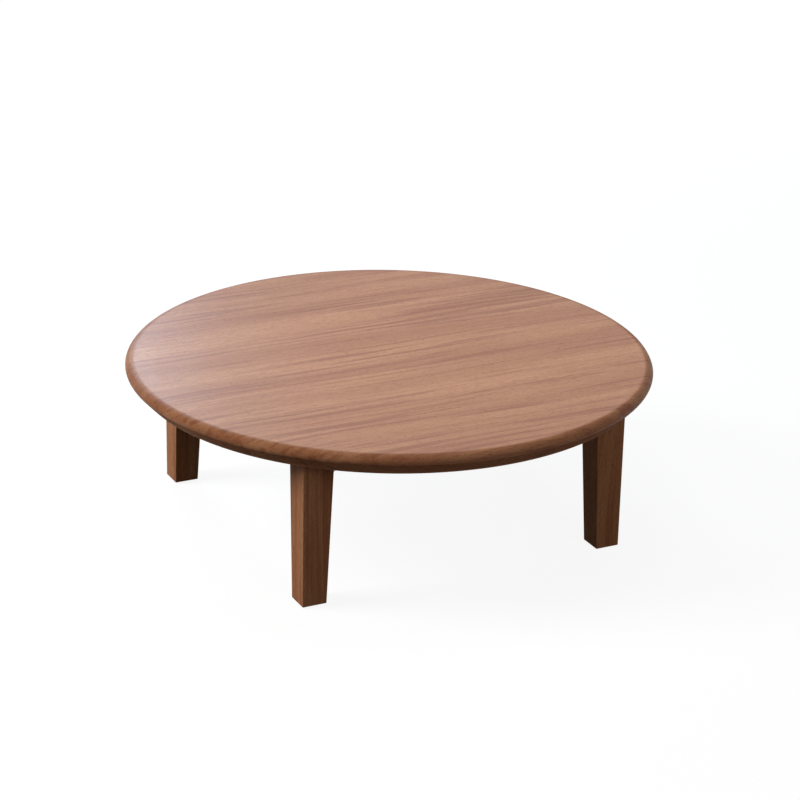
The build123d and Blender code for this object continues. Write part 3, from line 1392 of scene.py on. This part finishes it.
@dataclass(frozen=True)
class Studio:
    """White floor and surroundings, soft light with its main lamp at the left, and the camera."""

    camera_place: Place = (-1654.9, -3304.8, 1666.4)
    camera_forward: Place = (0.4195, 0.8280, -0.3722)
    camera_roll: float = 1.25  # in degrees
    camera_sight: float = 100000.0  # how far it sees
    lens: float = 117.2
    sensor: float = 36.0
    floor_width: float = 60000.0
    floor_bounce: float = 0.14  # how much light the floor gives back to the table
    floor_glow: Pair = (0.905, 0.99)  # what makes the floor up to white, near and far
    glow_rise: Pair = (900.0, 4000.0)  # where the glow is that of near by, and that of far off
    fill: float = 0.08  # the even light from all round
    aim: Place = (0.0, 0.0, 200.0)
    lamps: tuple[Lamp, ...] = (
        Lamp("key", (-3850.0, 1300.0, 2950.0), 2200.0, 0.80, glare=False),
        Lamp("ceiling", (110.0, -110.0, 1060.0), 600.0, 0.35),
        Lamp("window", (70.0, 2300.0, 1250.0), 800.0, 0.35, "dcebff"),
        Lamp("front", (600.0, -3400.0, 1900.0), 2000.0, 0.16),
    )

    def build(self) -> None:
        """Set up the floor, the world, the lamps and the camera."""
        self.floor()
        self.world()
        for lamp in self.lamps:
            lamp.hang(self.aim)
        self.camera()

    def floor(self) -> None:
        """Lay a wide pale floor that shows white and keeps the table's shadow."""
        floor = start(bpy.ops.mesh.primitive_plane_add, size=self.floor_width * MM)
        floor.name = "studio_floor"
        material, tree = new_material("pale_paper_floor")
        diffuse = add_node(tree, "BsdfDiffuse", {"Color": (self.floor_bounce,) * 3 + (1.0,)})
        coords = add_node(tree, "TexCoord").outputs["Object"]
        away = add_node(tree, "VectorMath", {0: coords}, operation="LENGTH").outputs["Value"]
        near, far = (length * MM for length in self.glow_rise)
        low, high = self.floor_glow
        # The lamps fade with distance, so the glow rises to keep the floor one even white
        inputs = {"Value": away, "From Min": near, "From Max": far, "To Min": low, "To Max": high}
        level = add_node(tree, "MapRange", inputs, interpolation_type="SMOOTHSTEP")
        glow = add_node(tree, "Emission", {"Strength": self.seen(tree, level)})
        both = add_node(tree, "AddShader", {0: diffuse, 1: glow})
        add_node(tree, "OutputMaterial", {"Surface": both})
        floor.data.materials.append(material)

    def seen(self, tree: Tree, strength: Source) -> Node:
        """Keep a glow to what is seen, so that it gives no light to the table.

        Args:
            tree: The floor's or the world's tree.
            strength: The glow's strength.

        Returns:
            The strength, for camera, glossy and transmission rays alone.
        """
        path = add_node(tree, "LightPath")
        camera, glossy, through = (
            path.outputs[f"Is {kind} Ray"] for kind in ("Camera", "Glossy", "Transmission")
        )
        shown = add_node(tree, "Math", {0: glossy, 1: through}, operation="MAXIMUM")
        shown = add_node(tree, "Math", {0: camera, 1: shown}, operation="MAXIMUM")
        return add_node(tree, "Math", {0: shown, 1: strength}, operation="MULTIPLY")

    def world(self) -> None:
        """Make it white all round for the camera, with a low even light on the table."""
        world = bpy.data.worlds.new("studio")
        bpy.context.scene.world = world
        world.use_nodes = True
        tree = world.node_tree
        tree.nodes.clear()
        extra = self.seen(tree, 1.0 - self.fill)
        strength = add_node(tree, "Math", {0: extra, 1: self.fill}, operation="ADD")
        background = add_node(tree, "Background", {"Color": WHITE, "Strength": strength})
        add_node(tree, "OutputWorld", {"Surface": background})

    def camera(self) -> None:
        """Set the camera where the table is seen from, turned by its slight roll."""
        data = bpy.data.cameras.new("view")
        data.lens, data.sensor_width, data.clip_end = self.lens, self.sensor, self.camera_sight * MM
        camera = bpy.data.objects.new("view", data)
        bpy.context.scene.collection.objects.link(camera)
        forward = Vector(self.camera_forward).normalized()
        right = forward.cross(Vector((0, 0, 1))).normalized()
        up = right.cross(forward)
        roll = radians(self.camera_roll)
        right, up = cos(roll) * right + sin(roll) * up, cos(roll) * up - sin(roll) * right
        turn = Matrix((right, up, -forward)).transposed().to_4x4()
        camera.matrix_world = Matrix.Translation(Vector(self.camera_place) * MM) @ turn
        bpy.context.scene.camera = camera
        bpy.context.scene.view_settings.view_transform = "Standard"


# ---- The build ----

LEG_OFFSETS = {
    Corner.FRONT_LEFT: (310.0, 40.0, 5.0),
    Corner.FRONT_RIGHT: (95.0, 260.0, 60.0),
    Corner.BACK_RIGHT: (640.0, 130.0, 20.0),
    Corner.BACK_LEFT: (220.0, 470.0, 90.0),
}

# Both boards' materials paint shade on the rim, from rim_radius outwards
FACE = StainedAsh("lacquered_ash_top", rim_radius=384.0)
UNDERSIDE = StainedAsh("sealed_ash_underside", rim_radius=380.0, roughness=0.6, gloss=0.04)
RUBBER = SheetRubber("rubber_sheet")
SHEET = PlatedSteel("zinc_plated_sheet")
SCREW = PlatedSteel("zinc_plated_screw", "c4bfae", "8f8b7e", roughness=0.32)
RIVET = PlatedSteel("nickel_plated_rivet", "d0cdc4", "aaa69c", roughness=0.28)
SPRING = PlatedSteel("zinc_plated_spring_wire", "b9bbbb", "86888a", roughness=0.30)


def leg_wood(corner: Corner) -> Material:
    """Stain a leg's ash, a shade darker and duller than the board's, with its grain up the leg.

    Args:
        corner: The leg's corner, which has a figure of its own.

    Returns:
        The material.
    """
    return StainedAsh(
        f"stained_ash_leg_{corner.label}",
        pale="af7b56",
        body="a06945",
        streak="8a5236",
        pore="683f2a",
        turn=(0.0, pi / 2, 0.0),
        offset=LEG_OFFSETS[corner],
        coarseness=0.7,
        roughness=0.5,
        gloss=0.02,
    ).material()


def main() -> None:
    """Build every piece in order."""
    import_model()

    Studio().build()
    RoundTop().build(FACE.material(), UNDERSIDE.material())
    TaperedLeg().build(leg_wood)
    FootPad().build(RUBBER.material())

    hinge, under_board, on_leg = HingeFrame(), TopBracket(), LegBracket()
    board_screws = ScrewSet("board_screw", "table", "top_screws", 20.0, under_board.seats(hinge))
    leg_screws = ScrewSet("leg_screw", "leg_{}", "leg_screws_{}", 22.0, on_leg.seats(hinge))
    sheet, plated = SHEET.material(), SCREW.material()
    under_board.build(hinge, sheet, board_screws)
    on_leg.build(hinge, sheet, leg_screws)
    board_screws.build(plated)
    leg_screws.build(plated)
    Pins().build(hinge, RIVET.material())
    TensionSpring().build(hinge, SPRING.material())


if __name__ == "__main__":
    main()
